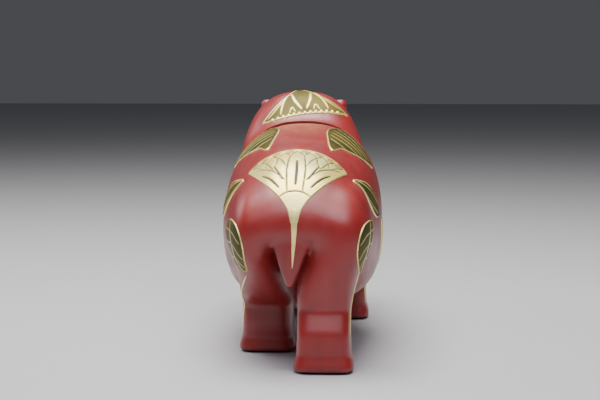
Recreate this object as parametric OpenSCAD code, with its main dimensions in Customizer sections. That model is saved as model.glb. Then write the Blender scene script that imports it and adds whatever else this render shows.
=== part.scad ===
// Still bank: a walking hippopotamus cast hollow in iron, with a coin slot
// across the nape and a screwed belly plate that carries a hinged trap door.
// Millimetres. +Y is forward (head), +Z is up, +X is the animal's right side.
// The origin lies on the floor under the middle of the bank.

/* [Overall] */
// Length from the rump to the nose
bank_l = 190; // [170:1:230]
// Width across the belly
bank_w = 71.8; // [64:0.1:88]
// Height from the floor to the crest of the neck
bank_h = 111; // [98:1:133]
// How far the neck and head stand off the middle plane
head_sway = 3; // [0:0.1:5]

/* [Casting] */
// Thickness of the cast iron wall
wall = 3.6; // [2.8:0.1:4.6]
// Points round each section of the trunk
ring_points = 32; // [24:4:40]
// Sections along the trunk
trunk_sections = 36; // [28:2:40]

/* [Legs] */
// Half width of a hind foot above its flared sole
hind_foot_a = 11.3; // [9:0.1:12]
// Length of a hind foot above its flared sole
hind_foot_l = 23.4; // [20:0.1:26]
// Half width of a front foot above its flared sole
fore_foot_a = 10.2; // [9:0.1:12]
// Length of a front foot above its flared sole
fore_foot_l = 21.2; // [18:0.1:24]
// How far the sole flares out past the foot
sole_flare = 1.3; // [0.5:0.1:2.5]
// Height of the heel's edge on the hind foot that trails
heel_z = 16.5; // [14:0.1:19]
// Height of the heel's edge on the hind foot that leads
lead_heel_z = 13; // [11:0.1:16]
// Height of the heel's edge on the front feet
fore_heel_z = 14; // [11:0.1:16]
// Height of the ankle crease above the heel's edge
ankle_rise = 8.5; // [6:0.1:9]
// Height at which the thighs are fullest
hip_z = 54; // [50:0.5:58]
// How far the ankle crease leans in from the heel
heel_lean = 4; // [2:0.1:6]

/* [Foot pads] */
// Thickness of the felt pads
pad_t = 0.8; // [0.5:0.1:2]
// How far each pad stays inside its foot
pad_inset = 1.6; // [1:0.1:4]

/* [Coin slot] */
// Length of the coin slot, across the nape
slot_l = 38; // [30:0.5:44]
// Width of the coin slot
slot_w = 4.6; // [4.4:0.1:6]

/* [Belly plate] */
// Length of the belly plate
plate_l = 46; // [42:0.5:48]
// Width of the belly plate
plate_w = 39; // [36:0.5:40]
// Thickness of the belly plate
plate_t = 1.6; // [1.2:0.1:2.5]
// Radius of the plate's corners
plate_r = 6; // [3:0.5:8]
// Height of the plate's outer face above the floor
plate_z = 21; // [20:0.1:23]
// Distance of the plate's middle ahead of the origin
plate_y = 6; // [4:0.5:8]
// Clearance round the plate in its recess
plate_gap = 0.3; // [0.2:0.05:0.5]
// Ledge under the plate at the front and rear
ledge_end = 7; // [6.5:0.1:8]
// Ledge under the plate at the sides
ledge_side = 4; // [3:0.1:5]
// Height of the ledge's flange above the plate
flange_h = 5.5; // [4:0.1:8]

/* [Plate screws] */
// Major radius of the plate screws
screw_r = 1.5; // [1.25:0.05:2]
// Radius of the screw heads
screw_head_r = 2.7; // [2.4:0.05:3.2]
// Height of the screw heads
screw_head_h = 1.6; // [1.2:0.1:2.2]
// Length of the screws below their heads
screw_l = 6; // [5:0.5:7]
// Distance of each screw's centre from the plate's edges
screw_edge = 3.9; // [3.4:0.1:4.2]
// Radial clearance of the screws in the plate
screw_gap = 0.2; // [0.1:0.05:0.4]

/* [Trap door] */
// Length of the trap hole in the plate
hole_l = 25.4; // [22:0.2:26]
// Width of the trap hole in the plate
hole_w = 27; // [24:0.5:28]
// How far the door laps the hole all round
door_lap = 1.8; // [1.2:0.1:2]
// Thickness of the door
door_t = 1.5; // [1.2:0.1:2]
// Gap between the door and the plate
door_gap = 0.15; // [0.1:0.05:0.3]

/* [Hinge] */
// Radius of the hinge pin
pin_r = 1; // [0.8:0.05:1.2]
// Radial running clearance of the pin in the door's knuckle
pin_gap = 0.06; // [0.03:0.01:0.1]
// Outer radius of the knuckles
knuckle_r = 2.1; // [1.8:0.05:2.4]
// Length of the door's knuckle
knuckle_door = 10; // [8:0.5:11]
// Length of each plate knuckle
knuckle_plate = 6.2; // [5:0.1:6.5]
// Gap between neighbouring knuckles
knuckle_gap = 0.3; // [0.2:0.05:0.4]
// Distance of the hinge axis behind the trap hole
hinge_back = 3.4; // [3:0.1:3.8]

/* [Lock] */
// Distance of the lock's axis from the hole's front edge
lock_from_edge = 7.6; // [7:0.1:8.5]
// Radius of the lock plug's stem
plug_r = 2.5; // [2:0.1:2.6]
// Radial running clearance of the plug
plug_gap = 0.06; // [0.03:0.01:0.1]
// Radius of the plug's head
plug_head_r = 4; // [3.6:0.1:4.2]
// Outer radius of the housing's threaded barrel
barrel_r = 3.9; // [3.6:0.1:4]
// Radius of the housing's flange
flange_r = 5.6; // [5.2:0.1:5.8]
// Thickness of the housing's flange
flange_t = 1.6; // [1.5:0.1:2]
// Width across flats of the lock nut
nut_af = 10; // [9.4:0.1:10.4]
// Thickness of the lock nut
nut_t = 1.5; // [1:0.1:1.6]
// Length of the cam from the lock's axis
cam_l = 10.6; // [10:0.1:10.8]
// Width of the cam
cam_w = 6.4; // [6:0.1:7]
// Thickness of the cam
cam_t = 1.3; // [1:0.1:1.6]
// Thickness of the spring washer under the cam
washer_t = 0.5; // [0.3:0.1:0.6]
// Gap between faces that turn on each other
turn_gap = 0.1; // [0.05:0.05:0.2]

/* [Hidden] */

red = [0.45, 0.07, 0.06];
steel = [0.62, 0.62, 0.6];
brass = [0.78, 0.6, 0.25];
felt = [0.08, 0.08, 0.08];
fine = 48;

// Trunk sections, from the rump to the nose: place along the bank, half
// width, top, bottom and height of the widest point, each as a share of the
// bank's own length, half width or height, and the exponents of the upper
// and lower outlines.
TRUNK = [
    [0.000, 0.05, 0.510, 0.490, 0.500, 2.0, 2.0],
    [0.004, 0.33, 0.570, 0.485, 0.510, 2.0, 2.0],
    [0.014, 0.53, 0.615, 0.475, 0.505, 2.0, 2.0],
    [0.036, 0.67, 0.664, 0.466, 0.500, 2.0, 2.0],
    [0.070, 0.77, 0.714, 0.450, 0.495, 2.0, 2.0],
    [0.130, 0.84, 0.768, 0.395, 0.480, 2.0, 2.0],
    [0.210, 0.90, 0.812, 0.285, 0.470, 2.1, 2.2],
    [0.310, 0.96, 0.842, 0.185, 0.475, 2.3, 2.7],
    [0.420, 0.99, 0.860, 0.155, 0.480, 2.4, 3.0],
    [0.520, 0.99, 0.871, 0.155, 0.485, 2.4, 3.0],
    [0.575, 0.96, 0.868, 0.155, 0.500, 2.4, 3.0],
    [0.610, 0.92, 0.895, 0.158, 0.520, 2.4, 3.0],
    [0.645, 0.88, 0.960, 0.168, 0.550, 2.4, 2.8],
    [0.685, 0.85, 0.994, 0.188, 0.560, 2.5, 2.6],
    [0.730, 0.80, 0.986, 0.244, 0.580, 2.7, 2.5],
    [0.780, 0.73, 0.936, 0.336, 0.610, 2.5, 2.5],
    [0.830, 0.68, 0.886, 0.392, 0.610, 2.6, 2.6],
    [0.885, 0.67, 0.845, 0.417, 0.610, 2.7, 2.7],
    [0.940, 0.66, 0.810, 0.427, 0.606, 2.7, 2.7],
    [0.975, 0.58, 0.768, 0.448, 0.600, 2.6, 2.6],
    [0.993, 0.40, 0.712, 0.488, 0.600, 2.4, 2.4],
    [1.000, 0.05, 0.610, 0.590, 0.600, 2.0, 2.0]
];

back_y = -bank_l / 2;
nape_u = 0.578;
nape_y = back_y + bank_l * nape_u;
hinge_y = plate_y - hole_l / 2 - hinge_back;
hinge_z = plate_z - knuckle_r;
lock_y = plate_y + hole_l / 2 - lock_from_edge;
door_top = plate_z - door_gap;
door_bottom = door_top - door_t;
plate_top = plate_z + plate_t;
flange_top = plate_top + flange_h;
open_l = plate_l - 2 * ledge_end;
open_w = plate_w - 2 * ledge_side;
screw_x = plate_w / 2 - screw_edge;
screw_y = plate_l / 2 - screw_edge;
rim_w = 2;
rim_drop = 2.6;
pin_l = knuckle_door + 2 * (knuckle_gap + knuckle_plate);
barrel_top = plate_top + 0.3;
cam_z = barrel_top + turn_gap + washer_t;
tang = 3;
sole_z = pad_t;
head_recess = 1.1;
coin_slot_w = 1.4;
coin_slot_d = 0.7;

function sgn_pow(v, p) = sign(v) * pow(abs(v), p);

// Catmull-Rom value of column k of a table at place u in column 0.
function seg(t, u, i = 0) = i >= len(t) - 2 || u <= t[i + 1][0] ? i : seg(t, u, i + 1);
function slope(t, i, k) =
    let (a = max(i - 1, 0), b = min(i + 1, len(t) - 1))
    (t[b][k] - t[a][k]) / (t[b][0] - t[a][0]);
function spline(t, u, k) =
    let (i = seg(t, u), h = t[i + 1][0] - t[i][0], s = (u - t[i][0]) / h,
         s2 = s * s, s3 = s2 * s)
    (2 * s3 - 3 * s2 + 1) * t[i][k] + (s3 - 2 * s2 + s) * h * slope(t, i, k)
    + (3 * s2 - 2 * s3) * t[i + 1][k] + (s3 - s2) * h * slope(t, i + 1, k);

function half_w(u) = spline(TRUNK, u, 1) * bank_w / 2;
function top_z(u) = spline(TRUNK, u, 2) * bank_h;
function low_z(u) = spline(TRUNK, u, 3) * bank_h;
function mid_z(u) = spline(TRUNK, u, 4) * bank_h;

// How far the neck and head stand off the middle plane at place u.
function sway(u) = let (s = min(max((u - 0.5) / 0.22, 0), 1))
    -head_sway * s * s * (3 - 2 * s);

// One closed section at place u with half width w, between low and top.
function section(u, w, low, top, points) = [
    for (i = [0 : points - 1])
        let (a = 360 * i / points, mid = mid_z(u),
             n = spline(TRUNK, u, a < 180 ? 5 : 6),
             r = a < 180 ? top - mid : mid - low)
        [sway(u) + w * sgn_pow(cos(a), 2 / n), back_y + u * bank_l,
         mid + r * sgn_pow(sin(a), 2 / n)]
];

function trunk_ring(u) = section(u, half_w(u), low_z(u), top_z(u), ring_points);

// The cored hollow keeps one wall inside the trunk, also where it narrows.
function near(u) = [for (s = [-1, 0, 1]) min(max(u + s * wall / bank_l, 0), 1)];
function core_ring(u) = section(u, min([for (v = near(u)) half_w(v)]) - wall,
    max([for (v = near(u)) low_z(v)]) + wall,
    min([for (v = near(u)) top_z(v)]) - wall, ring_points - 8);

// Skin over a row of sections with equal numbers of points.
module loft(rings) {
    m = len(rings[0]);
    k = len(rings);
    polyhedron(
        points = [for (r = rings) each r],
        faces = concat(
            [[for (i = [m - 1 : -1 : 0]) i]],
            [for (j = [0 : k - 2]) for (i = [0 : m - 1]) each [
                [j * m + i, (j + 1) * m + (i + 1) % m, (j + 1) * m + i],
                [j * m + i, j * m + (i + 1) % m, (j + 1) * m + (i + 1) % m]]],
            [[for (i = [0 : m - 1]) (k - 1) * m + i]]),
        convexity = 8);
}

// Makes its children one continuous skin.
module cast_skin() {
    resize([0, 0, 0]) children();
}

module plate_outline(grow = 0) {
    w = plate_w / 2 - plate_r;
    l = plate_l / 2 - plate_r;
    hull() for (x = [-w, w], y = [-l, l])
        translate([x, plate_y + y]) circle(plate_r + grow, $fn = fine);
}

// Leg sections: height, the share of the way from foot to hip, half width,
// how far the back leans forward, and the outline's exponent.
function leg_rows(heel, a, hip_a) = [
    [sole_z, 0, a + sole_flare - 0.5, 0.5 - sole_flare, 4.6],
    [sole_z + 1, 0, a + sole_flare, -sole_flare, 4.6],
    [sole_z + 3, 0, a + sole_flare * 0.7, -sole_flare * 0.7, 4.6],
    [sole_z + 6, 0, a, 0, 4.6],
    [heel - 4, 0.01, a - 0.2, 0, 4.6],
    [heel, 0.02, a - 0.4, 0.2, 4.4],
    [heel + ankle_rise, 0.06, a - 0.3, heel_lean, 4],
    [heel + ankle_rise + 6, 0.22, a + 0.2 * (hip_a - a), heel_lean * 0.6, 3.2],
    [hip_z - 16, 0.5, a + 0.6 * (hip_a - a), heel_lean * 0.2, 2.7],
    [hip_z - 8, 0.8, a + 0.9 * (hip_a - a), 0, 2.4],
    [hip_z, 1, hip_a, 0, 2.3],
    [hip_z + 8, 1, hip_a * 0.97, 0.8, 2.2],
    [hip_z + 16, 1, hip_a * 0.8, 7, 2.1],
    [hip_z + 21, 1, hip_a * 0.5, 15, 2]
];

// Foot and hip each give the leg's middle in X, its back and its front, both
// as distances from the rump.
module leg(foot, hip, heel, a, hip_a) {
    loft([for (r = leg_rows(heel, a, hip_a))
        let (s = r[1], t = 1 - pow(1 - s, 2),
             x = foot[0] + (hip[0] - foot[0]) * s * s,
             back = foot[1] + (hip[1] - foot[1]) * t + r[3],
             front = foot[2] + (hip[2] - foot[2]) * t - min(r[3], 0))
        [for (i = [0 : 17]) let (a = -20 * i)
            [x + r[2] * sgn_pow(cos(a), 2 / r[4]),
             back_y + (back + front) / 2
                 + (front - back) / 2 * sgn_pow(sin(a), 2 / r[4]), r[0]]]]);
}

function foot_at(x, share, l) = [x, share * bank_l, share * bank_l + l];
hind_right = foot_at(11.6, 0.0075, hind_foot_l);
hind_left = foot_at(-14, 0.2395, hind_foot_l);
fore_right = foot_at(18, 0.681, fore_foot_l);
fore_left = foot_at(-18, 0.755, fore_foot_l);

module legs() {
    k = bank_l / 190;
    w = bank_w / 72;
    leg(hind_right, [18.2 * w, 0.6, 46 * k], heel_z, hind_foot_a, 13.4 * w);
    leg(hind_left, [-18.6 * w, 1.2, 54 * k], lead_heel_z, hind_foot_a, 9.4 * w);
    leg(fore_right, [14 * w, 118 * k, 146 * k], fore_heel_z, fore_foot_a, 12.5 * w);
    leg(fore_left, [-15 * w, 120 * k, 152 * k], fore_heel_z, fore_foot_a, 12.5 * w);
}

// Tail: a tapering flap that hangs from the rump between the thighs.
tail_top = 62;
tail_tip = 35;
module tail() {
    loft([for (i = [0 : 8]) let (s = i / 8, w = 1.2 + 9.4 * pow(s, 0.85),
            d = 1.6 + 3 * s, x = s - 2,
            y = back_y + 0.4 + 3.4 * pow(1 - s, 2) + d + 2 * s * s)
        [for (k = [0 : 11])
            [x + w * cos(-30 * k), y + d * sin(-30 * k),
             tail_tip + (tail_top - tail_tip) * s]]]);
}

module face() {
    ear = [0.46 * bank_w / 2, back_y + 0.77 * bank_l, bank_h - 9.5];
    eye = [0.43 * bank_w / 2, back_y + 0.825 * bank_l, 0.852 * bank_h];
    nose = [0.31 * bank_w / 2, back_y + 0.935 * bank_l, 0.785 * bank_h];
    translate([-head_sway, 0, 0]) for (s = [-1, 1]) {
        translate([s * ear[0], ear[1], ear[2]]) rotate([-10, s * 42, 0])
            scale([0.65, 0.42, 1]) sphere(5.8, $fn = 14);
        translate([s * eye[0], eye[1], eye[2]]) scale([0.7, 1, 0.8])
            sphere(5.6, $fn = 14);
        translate([s * nose[0], nose[1], nose[2]]) scale([0.9, 1, 0.7])
            sphere(5.4, $fn = 14);
    }
}

// Hollow inside the casting, less the flange that carries the belly plate.
module core() {
    difference() {
        loft([for (i = [0 : 19]) core_ring(0.055 + 0.85 * i / 19)]);
        translate([0, 0, plate_z - 8]) linear_extrude(flange_top - plate_z + 8)
            plate_outline(plate_gap + wall * 0.7);
    }
}

// Rim cast round the belly plate's recess, level all round.
module belly_rim() {
    translate([0, 0, plate_z - rim_drop]) linear_extrude(flange_h + rim_drop)
        plate_outline(plate_gap + rim_w);
}

module rounded_box(l, w, r, h) {
    linear_extrude(h) hull()
        for (x = [-1, 1], y = [-1, 1])
            translate([x * (w / 2 - r), y * (l / 2 - r)]) circle(r, $fn = 32);
}

module body_casting() {
    color(red) difference() {
        cast_skin() difference() {
            union() {
                loft([for (i = [0 : trunk_sections])
                    trunk_ring(pow(sin(90 * i / trunk_sections), 2))]);
                legs();
                tail();
                face();
                belly_rim();
            }
            core();
            translate([0, 0, plate_z - 12]) linear_extrude(plate_t + 12)
                plate_outline(plate_gap);
            translate([0, plate_y, plate_z])
                rounded_box(open_l, open_w, 3, flange_top);
            translate([sway(nape_u), nape_y, 0.62 * bank_h])
                rounded_box(slot_w, slot_l, slot_w / 2 - 0.1, bank_h);
        }
        for (x = [-screw_x, screw_x], y = [-screw_y, screw_y])
            translate([x, plate_y + y, plate_top - 1])
                cylinder(r = screw_r, h = screw_l - plate_t + 1.6, $fn = fine);
    }
}

// Start and length of the plate's knuckles along X.
plate_spans = [
    [-pin_l / 2, knuckle_plate],
    [pin_l / 2 - knuckle_plate, knuckle_plate]
];

module belly_plate() {
    color(red) difference() {
        union() {
            translate([0, 0, plate_z]) linear_extrude(plate_t) plate_outline();
            for (s = plate_spans) {
                translate([s[0], hinge_y, hinge_z]) rotate([0, 90, 0])
                    cylinder(r = knuckle_r, h = s[1], $fn = fine);
                translate([s[0], hinge_y - knuckle_r, hinge_z])
                    cube([s[1], knuckle_r, knuckle_r + plate_t / 2]);
            }
        }
        translate([0, plate_y, plate_z - 1])
            rounded_box(hole_l, hole_w, 2.5, plate_t + 2);
        translate([-pin_l, hinge_y, hinge_z]) rotate([0, 90, 0])
            cylinder(r = pin_r, h = 2 * pin_l, $fn = fine);
        for (x = [-screw_x, screw_x], y = [-screw_y, screw_y])
            translate([x, plate_y + y, plate_z - 1])
                cylinder(r = screw_r + screw_gap, h = plate_t + 2, $fn = fine);
        // Room for the door's knuckle under the plate.
        translate([-knuckle_door / 2 - knuckle_gap, hinge_y, hinge_z])
            rotate([0, 90, 0]) cylinder(r = knuckle_r + 0.3,
                h = knuckle_door + 2 * knuckle_gap, $fn = fine);
    }
}

module plate_screws() {
    color(steel) for (x = [-screw_x, screw_x], y = [-screw_y, screw_y])
        translate([x, plate_y + y, plate_z - screw_head_h]) difference() {
            union() {
                cylinder(r = screw_head_r, h = screw_head_h, $fn = fine);
                cylinder(r = screw_r, h = screw_head_h + screw_l, $fn = fine);
            }
            translate([-screw_head_r - 1, -0.4, -1])
                cube([2 * screw_head_r + 2, 0.8, 1.8]);
        }
}

module trap_hinge_pin() {
    color(steel) translate([-pin_l / 2, hinge_y, hinge_z]) rotate([0, 90, 0])
        cylinder(r = pin_r, h = pin_l, $fn = fine);
}

module trap_door() {
    front = plate_y + hole_l / 2 + door_lap;
    rear = hinge_y + knuckle_r + 0.5;
    wide = hole_w + 2 * door_lap;
    color(red) difference() {
        union() {
            translate([0, (front + rear) / 2, door_bottom])
                rounded_box(front - rear, wide, 2.5, door_t);
            translate([-knuckle_door / 2, hinge_y, door_bottom])
                cube([knuckle_door, rear - hinge_y + 3, door_t]);
            translate([-knuckle_door / 2, hinge_y, hinge_z]) rotate([0, 90, 0])
                cylinder(r = knuckle_r, h = knuckle_door, $fn = fine);
        }
        translate([-knuckle_door, hinge_y, hinge_z]) rotate([0, 90, 0])
            cylinder(r = pin_r + pin_gap, h = 2 * knuckle_door, $fn = fine);
        translate([0, lock_y, door_bottom - 1])
            cylinder(r = barrel_r, h = door_t + 2, $fn = fine);
    }
}

module lock_housing() {
    low = door_bottom - flange_t;
    color(brass) translate([0, lock_y, 0]) difference() {
        union() {
            translate([0, 0, low]) cylinder(r = flange_r, h = flange_t, $fn = fine);
            translate([0, 0, low])
                cylinder(r = barrel_r, h = barrel_top - low, $fn = fine);
        }
        translate([0, 0, low - 1])
            cylinder(r = plug_r + plug_gap, h = barrel_top, $fn = fine);
        translate([0, 0, low - 1])
            cylinder(r = plug_head_r + plug_gap, h = head_recess + 1, $fn = fine);
    }
}

module lock_nut() {
    color(brass) translate([0, lock_y, door_top]) difference() {
        cylinder(d = nut_af / cos(30), h = nut_t, $fn = 6);
        translate([0, 0, -1]) cylinder(r = barrel_r, h = nut_t + 2, $fn = fine);
    }
}

module lock_plug() {
    low = door_bottom - flange_t;
    color(steel) translate([0, lock_y, 0]) difference() {
        union() {
            translate([0, 0, low])
                cylinder(r = plug_head_r, h = head_recess - turn_gap, $fn = fine);
            translate([0, 0, low])
                cylinder(r = plug_r, h = barrel_top + turn_gap - low, $fn = fine);
            translate([-tang / 2, -tang / 2, barrel_top])
                cube([tang, tang, turn_gap + washer_t + cam_t]);
        }
        translate([-coin_slot_w / 2, -plug_head_r - 1, low - 1])
            cube([coin_slot_w, 2 * plug_head_r + 2, coin_slot_d + 1]);
        translate([0, 0, cam_z - 3]) cylinder(r = 0.8, h = 8, $fn = 24);
    }
}

module lock_spring_washer() {
    color(steel) translate([0, lock_y, barrel_top + turn_gap]) difference() {
        cylinder(r = barrel_r - 0.4, h = washer_t, $fn = fine);
        translate([0, 0, -1]) cylinder(r = tang * 0.72, h = 3, $fn = fine);
    }
}

module lock_cam() {
    color(steel) translate([0, lock_y, cam_z]) difference() {
        linear_extrude(cam_t) hull() {
            circle(cam_w / 2, $fn = fine);
            translate([cam_l - 1.5, -cam_w / 2 + 0.6]) square([1.5, cam_w - 1.2]);
        }
        translate([-tang / 2, -tang / 2, -1]) cube([tang, tang, cam_t + 2]);
    }
}

module cam_screw() {
    color(steel) translate([0, lock_y, cam_z + cam_t]) difference() {
        union() {
            cylinder(r = 2.6, h = 1.4, $fn = fine);
            translate([0, 0, -3.2]) cylinder(r = 0.8, h = 3.3, $fn = 24);
        }
        translate([-3, -0.35, 0.8]) cube([6, 0.7, 2]);
    }
}

module foot_pad(foot, a) {
    color(felt) translate([foot[0], back_y + (foot[1] + foot[2]) / 2, 0])
        rounded_box(foot[2] - foot[1] - 2 * pad_inset, 2 * (a - pad_inset), 3.5, pad_t);
}

body_casting();
belly_plate();
plate_screws();
trap_hinge_pin();
trap_door();
lock_housing();
lock_nut();
lock_plug();
lock_spring_washer();
lock_cam();
cam_screw();
foot_pad(hind_right, hind_foot_a);  // foot_pad_hind_right
foot_pad(hind_left, hind_foot_a);  // foot_pad_hind_left
foot_pad(fore_right, fore_foot_a);  // foot_pad_fore_right
foot_pad(fore_left, fore_foot_a);  // foot_pad_fore_left
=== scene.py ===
"""Looks of the walking hippopotamus still bank: red lacquer over cast iron, gilt lotus
flowers and leaves in low relief, and the fittings of its belly."""

import math

import bpy
import numpy as np
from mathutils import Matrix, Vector
from mathutils.bvhtree import BVHTree


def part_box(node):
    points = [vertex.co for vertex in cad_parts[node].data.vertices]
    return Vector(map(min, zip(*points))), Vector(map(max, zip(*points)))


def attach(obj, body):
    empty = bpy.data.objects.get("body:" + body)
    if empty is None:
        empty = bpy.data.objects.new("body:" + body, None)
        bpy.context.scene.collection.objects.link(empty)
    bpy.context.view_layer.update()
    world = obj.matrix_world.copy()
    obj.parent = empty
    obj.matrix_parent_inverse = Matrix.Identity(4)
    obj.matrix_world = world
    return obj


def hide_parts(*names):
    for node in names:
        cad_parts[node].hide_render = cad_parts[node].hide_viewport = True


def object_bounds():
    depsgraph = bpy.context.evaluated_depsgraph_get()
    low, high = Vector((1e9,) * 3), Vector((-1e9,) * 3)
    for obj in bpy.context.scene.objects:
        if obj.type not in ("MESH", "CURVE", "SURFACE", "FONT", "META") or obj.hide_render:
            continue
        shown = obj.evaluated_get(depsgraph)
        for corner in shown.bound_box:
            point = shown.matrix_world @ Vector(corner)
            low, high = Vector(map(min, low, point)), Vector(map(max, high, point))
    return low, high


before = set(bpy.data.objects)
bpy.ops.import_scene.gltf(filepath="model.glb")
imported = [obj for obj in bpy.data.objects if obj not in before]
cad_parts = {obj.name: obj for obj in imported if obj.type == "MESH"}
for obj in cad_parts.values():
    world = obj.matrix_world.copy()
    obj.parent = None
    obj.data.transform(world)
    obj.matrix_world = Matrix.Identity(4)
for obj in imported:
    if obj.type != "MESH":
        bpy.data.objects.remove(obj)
cad_low, cad_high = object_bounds()
bpy.ops.object.select_all(action="DESELECT")

MM = 0.001
# The gilding's height, which the CAD box leaves room for over the bare casting.
RELIEF = 0.45
# Size of the cells that the casting's parts are fused with.
VOXEL = 0.9 * MM
# The trunk and neck fill these shares of the width and height that they are drawn with.
WIDE_SHARE = 0.99
HIGH_SHARE = 0.994
BANK_L = (cad_high.y - cad_low.y) / MM
BANK_W = ((cad_high.x - cad_low.x) / MM - 2 * RELIEF) / WIDE_SHARE
BANK_H = ((cad_high.z - cad_low.z) / MM - RELIEF) / HIGH_SHARE
BACK_Y = cad_low.y / MM
SOLE_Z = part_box("foot_pad_hind_right")[1].z / MM


def at(share):
    """Place along Y of a share of the bank's length, from the rump."""
    return BACK_Y + share * BANK_L


# ---------------------------------------------------------------- camera, light and floor

YAW = math.radians(2.85)
PITCH = math.radians(5.6)
CAMERA_AT = (32.5, -698.9, 130.0)
LENS = 92.0
SENSOR = 36.0
FLOOR_SIZE = 6.0
FLOOR_GREY = (0.42, 0.42, 0.43, 1.0)
SKY_COLOUR = (0.80, 0.83, 0.90, 1.0)
SKY_STRENGTH = 0.09
# Place and aim in metres, size in metres, watts and colour of each soft light.
LIGHTS = {
    "top_softbox": ((-0.06, 0.02, 0.72), (0.0, 0.0, 0.08), (0.5, 0.5), 12.5, (1.0, 0.97, 0.94)),
    "rear_softbox": ((0.08, -0.56, 0.80), (0.0, -0.07, 0.07), (0.95, 0.55), 8.0, (0.93, 0.92, 1.0)),
    "side_softbox": ((-0.75, 0.30, 0.50), (0.0, 0.0, 0.06), (0.4, 0.4), 2.2, (0.95, 0.97, 1.0)),
}


def make_camera():
    """A long lens behind the bank and a little above it."""
    data = bpy.data.cameras.new("camera")
    data.lens = LENS
    data.sensor_width = SENSOR
    data.clip_start = 0.01
    data.clip_end = 20.0
    camera = bpy.data.objects.new("camera", data)
    bpy.context.scene.collection.objects.link(camera)
    camera.location = Vector(CAMERA_AT) * MM
    camera.rotation_euler = (math.pi / 2 - PITCH, 0.0, YAW)
    bpy.context.scene.camera = camera


def add_light(name, place, target, size, watts, colour):
    """A soft rectangular light that faces its target."""
    data = bpy.data.lights.new(name, "AREA")
    data.shape = "RECTANGLE"
    data.size, data.size_y = size
    data.energy = watts
    data.color = colour
    lamp = bpy.data.objects.new(name, data)
    bpy.context.scene.collection.objects.link(lamp)
    lamp.location = place
    lamp.rotation_euler = (Vector(target) - Vector(place)).to_track_quat("-Z", "Y").to_euler()


def make_floor():
    """A plain pale floor at the height of the soles."""
    bpy.ops.mesh.primitive_plane_add(size=FLOOR_SIZE, location=(0.0, 0.0, 0.0))
    floor = bpy.context.object
    floor.name = "floor"
    material, _, _, shader = new_material("pale_floor")
    shader.inputs["Base Color"].default_value = FLOOR_GREY
    shader.inputs["Roughness"].default_value = 0.6
    floor.data.materials.append(material)


def make_lighting():
    """A dim sky and the soft lights."""
    world = bpy.data.worlds.new("studio")
    bpy.context.scene.world = world
    world.use_nodes = True
    sky = world.node_tree.nodes["Background"]
    sky.inputs["Color"].default_value = SKY_COLOUR
    sky.inputs["Strength"].default_value = SKY_STRENGTH
    for name, values in LIGHTS.items():
        add_light(name, *values)


# ---------------------------------------------------------------- materials

BUMP_DEPTH = 0.0002
COAT_ROUGHNESS = 0.38
DUST_COLOUR = (0.42, 0.36, 0.34)
# Scale of the noise behind the broad patches and behind each mask.
PATCH_SCALE = 45.0
STREAK_SCALE = 260.0
WEAR_SCALE = 420.0
DUST_SCALE = 140.0


def new_material(name):
    """A material, its nodes and links, and its shader."""
    material = bpy.data.materials.new(name)
    material.use_nodes = True
    nodes, links = material.node_tree.nodes, material.node_tree.links
    return material, nodes, links, nodes["Principled BSDF"]


def new_group(name, inputs, outputs):
    """A shader node group with float inputs given as name and value."""
    group = bpy.data.node_groups.new(name, "ShaderNodeTree")
    for label, value in inputs:
        socket = group.interface.new_socket(label, in_out="INPUT", socket_type="NodeSocketFloat")
        socket.default_value = value
    for label in outputs:
        group.interface.new_socket(label, in_out="OUTPUT", socket_type="NodeSocketFloat")
    start = group.nodes.new("NodeGroupInput")
    end = group.nodes.new("NodeGroupOutput")
    return group, group.nodes, group.links, start, end


def multiply(nodes, links, first, second):
    """The product of two sockets, held between nought and one."""
    node = nodes.new("ShaderNodeMath")
    node.operation = "MULTIPLY"
    node.use_clamp = True
    links.new(first, node.inputs[0])
    links.new(second, node.inputs[1])
    return node.outputs[0]


def noise(nodes, links, scale, detail, stretch=(1.0, 1.0, 1.0), turn=(0.0, 0.0, 0.0)):
    """Noise on Object coordinates; scale is a number or a socket."""
    place = nodes.new("ShaderNodeTexCoord")
    mapping = nodes.new("ShaderNodeMapping")
    mapping.inputs["Rotation"].default_value = [math.radians(v) for v in turn]
    mapping.inputs["Scale"].default_value = stretch
    texture = nodes.new("ShaderNodeTexNoise")
    texture.inputs["Detail"].default_value = detail
    links.new(place.outputs["Object"], mapping.inputs["Vector"])
    links.new(mapping.outputs["Vector"], texture.inputs["Vector"])
    if isinstance(scale, float):
        texture.inputs["Scale"].default_value = scale
    else:
        links.new(scale, texture.inputs["Scale"])
    return texture.outputs["Fac"]


def ramp(nodes, links, value, low, high):
    """A smooth step from nought at low to one at high."""
    node = nodes.new("ShaderNodeMapRange")
    node.interpolation_type = "SMOOTHSTEP"
    node.inputs["From Min"].default_value = low
    node.inputs["From Max"].default_value = high
    links.new(value, node.inputs["Value"])
    return node.outputs["Result"]


def make_grain_group():
    """Fine casting grain and broad patches of the finish."""
    group, nodes, links, start, end = new_group(
        "cast_grain", (("Scale", 900.0), ("Strength", 1.0)), ("Height", "Patches"))
    fine = noise(nodes, links, start.outputs["Scale"], 3.0)
    broad = noise(nodes, links, PATCH_SCALE, 3.0)
    height = multiply(nodes, links, fine, start.outputs["Strength"])
    links.new(height, end.inputs["Height"])
    links.new(ramp(nodes, links, broad, 0.35, 0.7), end.inputs["Patches"])
    return group


def make_wear_group():
    """Mask of rubbed edges, broken up by noise."""
    group, nodes, links, start, end = new_group(
        "rubbed_edges", (("Amount", 0.5), ("Scale", 350.0)), ("Mask",))
    shape = nodes.new("ShaderNodeNewGeometry")
    edge = ramp(nodes, links, shape.outputs["Pointiness"], 0.52, 0.60)
    broken = ramp(nodes, links, noise(nodes, links, start.outputs["Scale"], 4.0), 0.4, 0.65)
    mask = multiply(nodes, links, edge, broken)
    links.new(multiply(nodes, links, mask, start.outputs["Amount"]), end.inputs["Mask"])
    return group


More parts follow.
